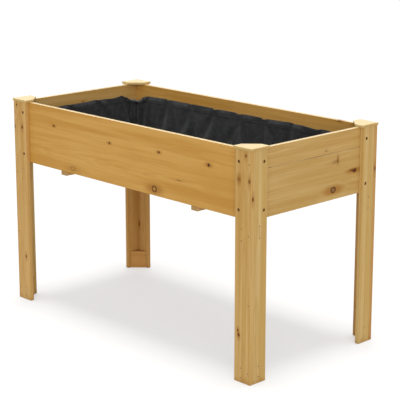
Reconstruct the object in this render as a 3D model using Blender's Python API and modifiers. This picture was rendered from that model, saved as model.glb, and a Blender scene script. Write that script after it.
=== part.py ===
"""Raised planter on legs: an open wooden planting box carried by four L-section legs.

Each leg is two boards fixed into an L, with a triangular block in the L at the foot and another under the
box, and a five-sided cap on top. The box has one wide board on each long side and two boards on each short
side, all held by screws through the legs. Five floor boards lie inside it on two battens that run under
the long sides, and a loose fabric liner holds the soil.

Frame: origin on the ground under the middle, +X along the length, +Y towards the back, +Z up, in metres.
"""

import bmesh
import bpy
from mathutils import Matrix, Vector

# Driving dimensions
LENGTH = 1.209  # over the legs, along X
WIDTH = 0.600  # over the legs, along Y
HEIGHT = 0.762  # ground to the top of the caps
BOARD = 0.015  # thickness of the leg boards and of the side panels
GAP = 0.0003  # left between pieces that touch
EASED_EDGE = 0.0006  # chamfer along every sawn edge

# Legs
LEG_ARM = 0.070  # each arm of the L, measured from the outer corner
CAP_THICKNESS = 0.009
CAP_OVERHANG = 0.0025
CAP_SIDE = 0.080
CAP_STRAIGHT = 0.035  # how much of the cap's inner sides is left beside the diagonal
BLOCK_SIDE = 0.043  # the short sides of the triangular blocks
FOOT_BLOCK_HEIGHT = 0.068
UPPER_BLOCK_HEIGHT = 0.080

# Box
PANEL_HEIGHT = 0.223
SEAM_BELOW_RIM = 0.067  # the seam between the two boards of a short side
SEAM_WIDTH = 0.0008
FLOOR_THICKNESS = 0.012
FLOOR_BOARDS = 5
DRAIN_GAP = 0.005
BATTEN_WIDTH = 0.030
BATTEN_THICKNESS = 0.0145
BATTEN_FROM_MIDDLE = 0.336
LINER_THICKNESS = 0.0015
LINER_BELOW_RIM = 0.038

# Screws through the legs into the panels, two on each face of each leg
SCREW_FROM_CORNER = 0.055
SCREW_HEIGHTS = {"lower": 0.562, "upper": 0.715}
SCREW_SIDES = 12
COUNTERBORE_RADIUS = 0.0052
COUNTERBORE_DEPTH = 0.0045
SCREW_HEAD_RADIUS = 0.0044
SCREW_HEAD_HEIGHT = 0.0024
SCREW_SHANK_RADIUS = 0.0020
SCREW_LENGTH = 0.0205
SCREW_POINT = 0.004

# Screws up through the battens into the long panels
BATTEN_COUNTERBORE_DEPTH = 0.003
BATTEN_SCREW_LENGTH = 0.031

# Levels and distances that follow from them
WOOD_TOP = HEIGHT - CAP_THICKNESS - GAP
PANEL_BOTTOM = WOOD_TOP - PANEL_HEIGHT
FLOOR_TOP = PANEL_BOTTOM + FLOOR_THICKNESS
PANEL_OUTER = BOARD + GAP  # from the leg's outer face in to the panel
PANEL_INNER = PANEL_OUTER + BOARD  # from the leg's outer face in to the planting space
SCREW_HOLE_RADIUS = SCREW_SHANK_RADIUS + GAP

CORNERS = {
    "front_right": (1, -1),
    "front_left": (-1, -1),
    "back_right": (1, 1),
    "back_left": (-1, 1),
}
UP = Vector((0.0, 0.0, 1.0))


# Scene, materials and basic shapes


def start_scene():
    """Clears the scene and returns the collections for the parts and for the cutters."""
    for obj in list(bpy.data.objects):
        bpy.data.objects.remove(obj)
    parts = bpy.data.collections.new("raised_planter")
    cutters = bpy.data.collections.new("cutters")
    for collection in (parts, cutters):
        bpy.context.scene.collection.children.link(collection)
    return parts, cutters


def material(name, colour, roughness, metallic=0.0):
    made = bpy.data.materials.new(name)
    made.use_nodes = True
    shader = made.node_tree.nodes["Principled BSDF"]
    shader.inputs["Base Color"].default_value = (*colour, 1.0)
    shader.inputs["Roughness"].default_value = roughness
    shader.inputs["Metallic"].default_value = metallic
    return made


def add_object(name, mesh, look, parent=None):
    """Links a mesh into the parts collection, under its leg's empty if it has one."""
    if not mesh.materials:
        mesh.materials.append(look)
    obj = bpy.data.objects.new(name, mesh)
    PARTS.objects.link(obj)
    if parent is not None:
        obj.parent = parent
        obj.matrix_parent_inverse = Matrix.Translation(-parent.location)
    return obj


def mesh_from(build_mesh, name):
    """Turns a bmesh into a mesh with its faces pointing outwards."""
    bmesh.ops.recalc_face_normals(build_mesh, faces=build_mesh.faces)
    mesh = bpy.data.meshes.new(name)
    build_mesh.to_mesh(mesh)
    build_mesh.free()
    return mesh


def ease_edges(obj):
    eased = obj.modifiers.new("eased edges", "BEVEL")
    eased.width = EASED_EDGE
    eased.segments = 1
    eased.limit_method = "ANGLE"


def drill(obj, holes):
    """Cuts (start, end, radius) holes out of an object with one Boolean."""
    if not holes:
        return
    build_mesh = bmesh.new()
    for start, end, radius in holes:
        axis = end - start
        turn = UP.rotation_difference(axis).to_matrix().to_4x4()
        bmesh.ops.create_cone(
            build_mesh,
            cap_ends=True,
            segments=SCREW_SIDES,
            radius1=radius,
            radius2=radius,
            depth=axis.length,
            matrix=Matrix.Translation((start + end) / 2) @ turn,
        )
    cutter = bpy.data.objects.new(f"{obj.name}_holes", mesh_from(build_mesh, "holes"))
    CUTTERS.objects.link(cutter)
    cutter.hide_render = True
    cutter.display_type = "WIRE"
    cut = obj.modifiers.new("holes", "BOOLEAN")
    cut.operation = "DIFFERENCE"
    cut.object = cutter
    cut.use_self = True  # a counterbore and its through hole overlap


def board(name, first, second, look, parent=None, holes=()):
    """A rectangular board between two opposite corners, with its origin at its centre."""
    low = Vector(map(min, first, second))
    high = Vector(map(max, first, second))
    build_mesh = bmesh.new()
    bmesh.ops.create_cube(build_mesh, size=1.0)
    bmesh.ops.scale(build_mesh, vec=high - low, verts=build_mesh.verts)
    obj = add_object(name, mesh_from(build_mesh, name), look, parent)
    obj.location = (low + high) / 2
    ease_edges(obj)
    drill(obj, holes)
    return obj


def plate(name, outline, low_z, high_z, look, parent):
    """A flat piece of a closed outline: a filled 2D curve, extruded and made a mesh."""
    curve = bpy.data.curves.new(name, "CURVE")
    curve.dimensions = "2D"
    curve.fill_mode = "BOTH"
    curve.extrude = (high_z - low_z) / 2
    spline = curve.splines.new("POLY")
    spline.points.add(len(outline) - 1)
    for point, (x, y) in zip(spline.points, outline):
        point.co = (x, y, 0.0, 1.0)
    spline.use_cyclic_u = True
    drawn = bpy.data.objects.new("outline", curve)
    PARTS.objects.link(drawn)
    bpy.context.view_layer.update()
    evaluated = drawn.evaluated_get(bpy.context.evaluated_depsgraph_get())
    build_mesh = bmesh.new()
    build_mesh.from_mesh(bpy.data.meshes.new_from_object(evaluated))
    bpy.data.objects.remove(drawn)
    bmesh.ops.remove_doubles(build_mesh, verts=build_mesh.verts, dist=GAP / 10)
    obj = add_object(name, mesh_from(build_mesh, name), look, parent)
    obj.location = (0.0, 0.0, (low_z + high_z) / 2)
    ease_edges(obj)
    return obj


def screw_profile(length):
    """Half of a screw's outline, from its top down, with the seat of its head at the origin."""
    outline = (
        (0.0, SCREW_HEAD_HEIGHT),
        (0.8 * SCREW_HEAD_RADIUS, SCREW_HEAD_HEIGHT),
        (SCREW_HEAD_RADIUS, 0.6 * SCREW_HEAD_HEIGHT),
        (SCREW_HEAD_RADIUS, 0.0),
        (SCREW_SHANK_RADIUS, 0.0),
        (SCREW_SHANK_RADIUS, SCREW_POINT - length),
        (0.0, -length),
    )
    profile = bpy.data.meshes.new("screw_profile")
    edges = [(i, i + 1) for i in range(len(outline) - 1)]
    profile.from_pydata([(radius, 0.0, height) for radius, height in outline], edges, [])
    return profile


def screw(name, profile, seat, facing, parent=None):
    """A turned screw with its head's seat at a point and its head facing one way."""
    obj = add_object(name, profile, SCREW_STEEL, parent)
    obj.location = seat
    obj.rotation_mode = "QUATERNION"
    obj.rotation_quaternion = UP.rotation_difference(facing)
    lathe = obj.modifiers.new("lathe", "SCREW")
    lathe.steps = lathe.render_steps = SCREW_SIDES
    lathe.use_merge_vertices = True
    lathe.merge_threshold = 0.00001
    return obj


# Legs. A point of a leg is written as its distances inwards from the leg's outer corner, along X and along
# Y, and its height, so that one description serves all four corners. Each leg's wide board is on the
# planter's long side, and its narrow board butts against it on the short side.


def corner_point(corner, inwards_x, inwards_y, height):
    side_x, side_y = CORNERS[corner]
    return Vector((side_x * (LENGTH / 2 - inwards_x), side_y * (WIDTH / 2 - inwards_y), height))


def screw_line(corner, on_long_side, height):
    """The function from a depth under the leg's face to the point at that depth on a screw's axis."""
    if on_long_side:
        return lambda depth: corner_point(corner, SCREW_FROM_CORNER, depth, height)
    return lambda depth: corner_point(corner, depth, SCREW_FROM_CORNER, height)


def leg_board_holes(corner, on_long_side):
    """A through hole and a counterbore for each of the two screws on one face of a leg."""
    holes = []
    for height in SCREW_HEIGHTS.values():
        at = screw_line(corner, on_long_side, height)
        holes.append((at(-BOARD), at(2 * BOARD), SCREW_HOLE_RADIUS))
        holes.append((at(-BOARD), at(COUNTERBORE_DEPTH), COUNTERBORE_RADIUS))
    return holes


def pilot_hole(corner, on_long_side, height):
    """The blind hole in a panel for the end of one of a leg's screws."""
    at = screw_line(corner, on_long_side, height)
    return at(0.0), at(COUNTERBORE_DEPTH + SCREW_LENGTH + GAP), SCREW_HOLE_RADIUS


def leg_boards(corner, parent):
    board(
        f"leg_wide_board_{corner}",
        corner_point(corner, 0.0, 0.0, 0.0),
        corner_point(corner, LEG_ARM, BOARD, WOOD_TOP),
        LEG_WOOD,
        parent,
        leg_board_holes(corner, True),
    )
    board(
        f"leg_narrow_board_{corner}",
        corner_point(corner, 0.0, BOARD + GAP, 0.0),
        corner_point(corner, BOARD, LEG_ARM, WOOD_TOP),
        LEG_WOOD,
        parent,
        leg_board_holes(corner, False),
    )


def leg_blocks(corner, parent):
    """The triangular blocks that fill the inside of the leg's L at the foot and under the box."""
    near = BOARD + GAP
    far = near + BLOCK_SIDE
    outline = [corner_point(corner, *point, 0.0).xy for point in ((near, near), (far, near), (near, far))]
    top = PANEL_BOTTOM - GAP
    plate(f"foot_block_{corner}", outline, 0.0, FOOT_BLOCK_HEIGHT, BLOCK_WOOD, parent)
    plate(f"upper_block_{corner}", outline, top - UPPER_BLOCK_HEIGHT, top, BLOCK_WOOD, parent)


def leg_cap(corner, parent):
    """A square plate with its inner corner cut off, standing a little proud of the leg's outer faces."""
    near = -CAP_OVERHANG
    far = near + CAP_SIDE
    bend = near + CAP_STRAIGHT
    points = ((near, near), (far, near), (far, bend), (bend, far), (near, far))
    outline = [corner_point(corner, *point, 0.0).xy for point in points]
    plate(f"cap_{corner}", outline, HEIGHT - CAP_THICKNESS, HEIGHT, CAP_WOOD, parent)


def leg_screws(corner, profile, parent):
    side_x, side_y = CORNERS[corner]
    faces = {"long": Vector((0, side_y, 0)), "short": Vector((side_x, 0, 0))}
    for face, facing in faces.items():
        for level, height in SCREW_HEIGHTS.items():
            seat = screw_line(corner, face == "long", height)(COUNTERBORE_DEPTH - GAP)
            screw(f"leg_screw_{corner}_{face}_{level}", profile, seat, facing, parent)


def legs():
    profile = screw_profile(SCREW_LENGTH)
    for corner in CORNERS:
        hub = bpy.data.objects.new(f"leg_{corner}", None)
        hub.location = corner_point(corner, 0.0, 0.0, 0.0)
        PARTS.objects.link(hub)
        leg_boards(corner, hub)
        leg_blocks(corner, hub)
        leg_cap(corner, hub)
        leg_screws(corner, profile, hub)


# Box


def batten_screw_points():
    """The place under each end of each batten where its screw goes up, at the battens' undersides."""
    y = WIDTH / 2 - PANEL_OUTER - BOARD / 2
    z = PANEL_BOTTOM - GAP - BATTEN_THICKNESS
    return {
        (side_x, side_y): Vector((side_x * BATTEN_FROM_MIDDLE, side_y * y, z))
        for side_x in (-1, 1)
        for side_y in (-1, 1)
    }


def long_panels():
    """The single wide board on each long side."""
    end = LENGTH / 2 - PANEL_OUTER
    for side, side_y in (("front", -1), ("back", 1)):
        holes = [
            pilot_hole(corner, True, height)
            for corner, (_, corner_y) in CORNERS.items()
            for height in SCREW_HEIGHTS.values()
            if corner_y == side_y
        ]
        for (_, point_y), point in batten_screw_points().items():
            if point_y == side_y:
                tip = point + (BATTEN_COUNTERBORE_DEPTH + BATTEN_SCREW_LENGTH + GAP) * UP
                holes.append((point, tip, SCREW_HOLE_RADIUS))
        board(
            f"long_panel_{side}",
            (-end, side_y * (WIDTH / 2 - PANEL_OUTER), PANEL_BOTTOM),
            (end, side_y * (WIDTH / 2 - PANEL_INNER), WOOD_TOP),
            PANEL_WOOD,
            holes=holes,
        )


def short_panels():
    """The two boards on each short side, each held by one screw at each end."""
    seam = WOOD_TOP - SEAM_BELOW_RIM
    end = WIDTH / 2 - PANEL_INNER - GAP
    rows = {"lower": (PANEL_BOTTOM, seam - SEAM_WIDTH / 2), "upper": (seam + SEAM_WIDTH / 2, WOOD_TOP)}
    for side, side_x in (("left", -1), ("right", 1)):
        for row, (low_z, high_z) in rows.items():
            holes = [
                pilot_hole(corner, False, SCREW_HEIGHTS[row])
                for corner, (corner_x, _) in CORNERS.items()
                if corner_x == side_x
            ]
            board(
                f"short_panel_{side}_{row}",
                (side_x * (LENGTH / 2 - PANEL_OUTER), -end, low_z),
                (side_x * (LENGTH / 2 - PANEL_INNER), end, high_z),
                PANEL_WOOD,
                holes=holes,
            )


def floor_boards():
    """The boards that carry the soil, lengthwise with drain gaps between them."""
    clear = WIDTH - 2 * (PANEL_INNER + GAP)
    width = (clear - (FLOOR_BOARDS - 1) * DRAIN_GAP) / FLOOR_BOARDS
    end = LENGTH / 2 - PANEL_INNER - GAP
    for i in range(FLOOR_BOARDS):
        edge = -clear / 2 + i * (width + DRAIN_GAP)
        board(
            f"floor_board_{i + 1}",
            (-end, edge, PANEL_BOTTOM),
            (end, edge + width, FLOOR_TOP),
            FLOOR_WOOD,
        )


def battens():
    """Two battens under the floor, out to the outer faces of the long panels, with a screw at each end."""
    half = WIDTH / 2 - PANEL_OUTER
    top = PANEL_BOTTOM - GAP
    profile = screw_profile(BATTEN_SCREW_LENGTH)
    for side, side_x in (("left", -1), ("right", 1)):
        holes = []
        for end, side_y in (("front", -1), ("back", 1)):
            point = batten_screw_points()[side_x, side_y]
            seat = point + BATTEN_COUNTERBORE_DEPTH * UP
            holes.append((point - BOARD * UP, point + 2 * BOARD * UP, SCREW_HOLE_RADIUS))
            holes.append((point - BOARD * UP, seat, COUNTERBORE_RADIUS))
            screw(f"batten_screw_{side}_{end}", profile, seat - GAP * UP, -UP)
        middle = side_x * BATTEN_FROM_MIDDLE
        board(
            f"floor_batten_{side}",
            (middle - BATTEN_WIDTH / 2, -half, top - BATTEN_THICKNESS),
            (middle + BATTEN_WIDTH / 2, half, top),
            BATTEN_WOOD,
            holes=holes,
        )


def liner():
    """The loose fabric liner: an open-topped shell that lies against the floor and the panels."""
    inset = PANEL_INNER + 2 * GAP
    low_z = FLOOR_TOP + GAP
    high_z = WOOD_TOP - LINER_BELOW_RIM
    build_mesh = bmesh.new()
    bmesh.ops.create_cube(build_mesh, size=1.0)
    lid = [face for face in build_mesh.faces if face.normal.z > 0.5]
    bmesh.ops.delete(build_mesh, geom=lid, context="FACES_ONLY")
    size = (LENGTH - 2 * inset, WIDTH - 2 * inset, high_z - low_z)
    bmesh.ops.scale(build_mesh, vec=size, verts=build_mesh.verts)
    mesh = bpy.data.meshes.new("liner")
    build_mesh.to_mesh(mesh)
    build_mesh.free()
    obj = add_object("liner", mesh, LINER_FELT)
    obj.location = (0.0, 0.0, (low_z + high_z) / 2)
    shell = obj.modifiers.new("cloth", "SOLIDIFY")
    shell.thickness = LINER_THICKNESS
    shell.offset = -1.0
    shell.use_even_offset = True


PARTS, CUTTERS = start_scene()
LEG_WOOD = material("leg_wood", (0.62, 0.40, 0.17), 0.55)
PANEL_WOOD = material("panel_wood", (0.60, 0.37, 0.15), 0.55)
CAP_WOOD = material("cap_wood", (0.68, 0.47, 0.22), 0.55)
BLOCK_WOOD = material("block_wood", (0.52, 0.31, 0.13), 0.60)
FLOOR_WOOD = material("floor_wood", (0.58, 0.38, 0.18), 0.65)
BATTEN_WOOD = material("batten_wood", (0.56, 0.35, 0.15), 0.60)
SCREW_STEEL = material("screw_steel", (0.16, 0.13, 0.10), 0.35, 0.9)
LINER_FELT = material("liner_felt", (0.03, 0.03, 0.032), 0.95)

legs()
long_panels()
short_panels()
floor_boards()
battens()
liner()
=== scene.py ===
"""The looks of the raised planter on legs: oiled softwood boards, screws, nails and a felt liner.

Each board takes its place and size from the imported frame. Its grain is a solid pattern of growth rings round
a pith that lies below the board, so that faces, edges and end grain agree, and its knots are ellipsoids in
the same space.
"""

import logging
import math
import random
from dataclasses import dataclass
from enum import Enum
from typing import Any, Callable, Iterable, Sequence

import bmesh
import bpy
from mathutils import Matrix, Vector, noise


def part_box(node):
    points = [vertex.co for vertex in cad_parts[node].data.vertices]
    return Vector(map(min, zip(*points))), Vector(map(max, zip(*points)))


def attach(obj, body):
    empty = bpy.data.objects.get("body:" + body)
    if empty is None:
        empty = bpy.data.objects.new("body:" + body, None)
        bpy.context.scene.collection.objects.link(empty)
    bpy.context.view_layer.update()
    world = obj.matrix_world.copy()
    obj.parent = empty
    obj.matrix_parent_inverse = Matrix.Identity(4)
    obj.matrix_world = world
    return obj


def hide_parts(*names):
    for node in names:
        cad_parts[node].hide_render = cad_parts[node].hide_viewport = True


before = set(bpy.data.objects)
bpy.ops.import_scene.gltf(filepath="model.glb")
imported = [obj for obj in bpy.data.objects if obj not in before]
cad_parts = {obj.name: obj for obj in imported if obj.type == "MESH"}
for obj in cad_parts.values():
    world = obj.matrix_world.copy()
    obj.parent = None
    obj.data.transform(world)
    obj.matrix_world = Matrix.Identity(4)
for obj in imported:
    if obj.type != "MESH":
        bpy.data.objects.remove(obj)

log = logging.getLogger("raised_planter")

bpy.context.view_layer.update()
UP = Vector((0.0, 0.0, 1.0))
Colour = tuple[float, float, float]


# Shader building


class Signal:
    """An output socket of a node. Arithmetic on it adds Math nodes."""

    def __init__(self, shader: "Shader", socket: bpy.types.NodeSocket) -> None:
        """Wraps a socket of a shader."""
        self.shader = shader
        self.socket = socket

    def _math(self, operation: str, *values: Any) -> "Signal":
        """Adds one Math node.

        Args:
            operation: The Math node's operation.
            values: Its inputs in order, as numbers or signals.

        Returns:
            The node's value.
        """
        return self.shader.node("ShaderNodeMath", {"operation": operation}, dict(enumerate(values)))

    def __add__(self, other: Any) -> "Signal":
        """Self plus other."""
        return self._math("ADD", self, other)

    __radd__ = __add__

    def __sub__(self, other: Any) -> "Signal":
        """Self minus other."""
        return self._math("SUBTRACT", self, other)

    def __rsub__(self, other: Any) -> "Signal":
        """Other minus self."""
        return self._math("SUBTRACT", other, self)

    def __mul__(self, other: Any) -> "Signal":
        """Self times other."""
        return self._math("MULTIPLY", self, other)

    __rmul__ = __mul__

    def __truediv__(self, other: Any) -> "Signal":
        """Self over other."""
        return self._math("DIVIDE", self, other)

    def fraction(self) -> "Signal":
        """What is left of self after the whole number."""
        return self._math("FRACT", self)

    def size(self) -> "Signal":
        """Self without its sign."""
        return self._math("ABSOLUTE", self)

    def root(self) -> "Signal":
        """The square root of self."""
        return self._math("SQRT", self)

    def most(self, other: Any) -> "Signal":
        """The larger of self and other."""
        return self._math("MAXIMUM", self, other)

    def least(self, other: Any) -> "Signal":
        """The smaller of self and other."""
        return self._math("MINIMUM", self, other)

    def step(self, low: float, high: float) -> "Signal":
        """A smooth rise from 0 to 1 as self goes from low to high, or a fall where low is the larger.

        Args:
            low: Where the rise starts.
            high: Where it ends.

        Returns:
            A value from 0 to 1.
        """
        bounds = {"From Min": min(low, high), "From Max": max(low, high)}
        ends = {"To Min": float(low > high), "To Max": float(low < high)}
        settings = {"interpolation_type": "SMOOTHSTEP"}
        return self.shader.node("ShaderNodeMapRange", settings, {"Value": self, **bounds, **ends})


class Shader:
    """A material's node tree with one Principled BSDF."""

    def __init__(self, name: str, **constants: Any) -> None:
        """Makes the material.

        Args:
            name: The material's name.
            constants: Values for the Principled BSDF's sockets, with _ for a space in a socket's name.
        """
        self.material = bpy.data.materials.new(name)
        self.material.use_nodes = True
        self.tree = self.material.node_tree
        self.surface = self.tree.nodes["Principled BSDF"]
        for socket, value in constants.items():
            self.surface.inputs[socket.replace("_", " ")].default_value = value

    def put(self, socket: bpy.types.NodeSocket, value: Any) -> None:
        """Links a signal to a socket, or writes a constant into it.

        Args:
            socket: The input socket.
            value: A signal, a number, or a colour or vector.
        """
        if isinstance(value, Signal):
            self.tree.links.new(value.socket, socket)
        elif isinstance(value, (tuple, list, Vector)):
            length = len(socket.default_value)
            socket.default_value = (*value, 1.0)[:length]
        else:
            socket.default_value = value

    def node(
        self,
        kind: str,
        settings: dict[str, Any] | None = None,
        inputs: dict[Any, Any] | None = None,
        output: Any = 0,
    ) -> Signal:
        """Adds any node.

        Args:
            kind: The node's type.
            settings: Its properties, which are set first.
            inputs: Numbers, colours or signals by socket name or index.
            output: The name or index of the output that is wanted.

        Returns:
            That output.
        """
        made = self.tree.nodes.new(kind)
        for key, value in (settings or {}).items():
            setattr(made, key, value)
        for key, value in (inputs or {}).items():
            self.put(made.inputs[key], value)
        return Signal(self, made.outputs[output])

    def vector_maths(self, operation: str, *values: Any, output: Any = 0, **more: Any) -> Signal:
        """Adds a Vector Math node; more holds inputs by name, such as Scale."""
        inputs = {**dict(enumerate(values)), **more}
        return self.node("ShaderNodeVectorMath", {"operation": operation}, inputs, output)

    def noise(self, vector: Signal, scale: float = 1.0, detail: float = 2.0, **more: Any) -> Signal:
        """Noise from 0 to 1 at a place."""
        inputs = {"Vector": vector, "Scale": scale, "Detail": detail, **more}
        return self.node("ShaderNodeTexNoise", None, inputs)

    def mix(self, factor: Any, first: Any, second: Any, blend: str = "MIX") -> Signal:
        """A colour between two colours."""
        settings = {"data_type": "RGBA", "blend_type": blend, "clamp_factor": True}
        return self.node("ShaderNodeMix", settings, {0: factor, 6: first, 7: second}, 2)

    def bump(self, height: Signal, distance: float, strength: float = 1.0) -> Signal:
        """A normal tilted by a height from 0 to 1 that stands for a distance in metres."""
        inputs = {"Height": height, "Distance": distance, "Strength": strength}
        return self.node("ShaderNodeBump", None, inputs)

    def finish(self, **sockets: Signal) -> bpy.types.Material:
        """Links signals to the Principled BSDF's sockets, with _ for a space, and returns the material."""
        for socket, value in sockets.items():
            self.put(self.surface.inputs[socket.replace("_", " ")], value)
        return self.material


# Finishes


@dataclass(frozen=True)
class Wood:
    """One batch of softwood with its oil."""

    name: str
    pale: Colour  # early wood
    honey: Colour  # the broad darker streaks
    late: Colour  # the late wood's lines
    end: Colour  # end grain
    sunned: Colour  # faces that look up: a painted highlight, and painted shade on the blocks' tops
    knot: Colour = (0.082, 0.020, 0.002)
    # the reddened wood round a knot, also the colour of the painted shade at the legs' feet
    halo: Colour = (0.350, 0.145, 0.020)
    ring_contrast: float = 0.46
    streak_width: float = 0.030
    flame: float = 0.30  # how strong the broad patches are
    damp: float = 0.0  # how high the painted contact shade at the feet reaches, in metres
    roughness: float = 0.52


SIDE_WOOD = Wood(
    "side_wood",
    pale=(0.608, 0.352, 0.092),
    honey=(0.515, 0.266, 0.050),
    late=(0.410, 0.168, 0.026),
    end=(0.40, 0.21, 0.06),
    sunned=(0.66, 0.53, 0.30),
    ring_contrast=0.38,
    flame=0.55,
)
END_WOOD = Wood(
    "end_wood",
    pale=(0.575, 0.370, 0.130),
    honey=(0.500, 0.290, 0.080),
    late=(0.400, 0.195, 0.042),
    end=(0.40, 0.23, 0.08),
    sunned=(0.66, 0.53, 0.30),
    flame=0.40,
)
LEG_WOOD = Wood(
    "leg_wood",
    pale=(0.610, 0.398, 0.155),
    honey=(0.515, 0.298, 0.084),
    late=(0.420, 0.205, 0.046),
    end=(0.42, 0.24, 0.08),
    sunned=(0.66, 0.53, 0.30),
    knot=(0.118, 0.038, 0.0),
    streak_width=0.013,
    # painted contact shade at the feet
    damp=0.020,
)
CAP_WOOD = Wood(
    "cap_wood",
    pale=(0.620, 0.440, 0.190),
    honey=(0.570, 0.370, 0.135),
    late=(0.480, 0.275, 0.085),
    end=(0.52, 0.32, 0.11),
    sunned=(0.66, 0.53, 0.29),
)
BLOCK_WOOD = Wood(
    "block_wood",
    pale=(0.540, 0.275, 0.080),
    honey=(0.470, 0.220, 0.052),
    late=(0.370, 0.160, 0.030),
    end=(0.42, 0.21, 0.06),
    # painted shade on the tops of the blocks, which stand in the legs' shade
    sunned=(0.34, 0.16, 0.04),
    streak_width=0.012,
)
FLOOR_WOOD = Wood(
    "floor_wood",
    pale=(0.560, 0.360, 0.150),
    honey=(0.500, 0.290, 0.095),
    late=(0.380, 0.190, 0.050),
    end=(0.38, 0.22, 0.08),
    sunned=(0.54, 0.34, 0.14),
    roughness=0.62,
)


# Painted shade: the back legs' boards, which stand in the box's shade, are darkened and reddened, painted
# shade with a painted orange bounce light.
PAINTED_SHADE_LEG: Colour = (0.92, 0.82, 0.73)
PALE_LEG: Colour = (1.025, 1.10, 1.16)
WARM_LEG: Colour = (1.01, 0.98, 0.93)


@dataclass(frozen=True)
class Knot:
    """A knot, as an ellipsoid in the planter's frame."""

    at: tuple[float, float, float]
    radii: tuple[float, float, float]
    depth: float = 1.0  # how dark the knot is, from 0 to 1
    heart: float = 0.0  # how far its middle lightens inside the dark rim
    pull: float = 1.0  # how far the grain bends round it
    soft: float = 0.0  # how far its rim fades, as a share of its size
    stain: float = 0.75  # how strongly it reddens the wood round it


@dataclass
class Timber:
    """How one board was sawn: the way its grain runs, where its pith lay, and its knots."""

    centre: Vector
    grain: int  # 0, 1 or 2 for X, Y or Z
    thickness: int
    seed: float
    pith_depth: float = 0.055
    pith_across: float = 0.01
    ring: float = 0.0032
    taper: float = 0.02
    tone: Colour = (1.0, 1.0, 1.0)  # what the board's colour is multiplied by
    knots: Sequence[Knot] = ()
    turn: float = 0.0  # how far the grain is turned about Z, in radians

    @property
    def across(self) -> int:
        """The axis over the board's width."""
        return 3 - self.grain - self.thickness

    def inverse_radii(self, knot: Knot, along: float = 1.0, across: float = 1.0) -> Vector:
        """One over a knot's radii, with those along and across the grain made larger by these factors."""
        stretch = [across, across, across]
        stretch[self.grain] = along
        return Vector(1.0 / (radius * factor) for radius, factor in zip(knot.radii, stretch))


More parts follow.
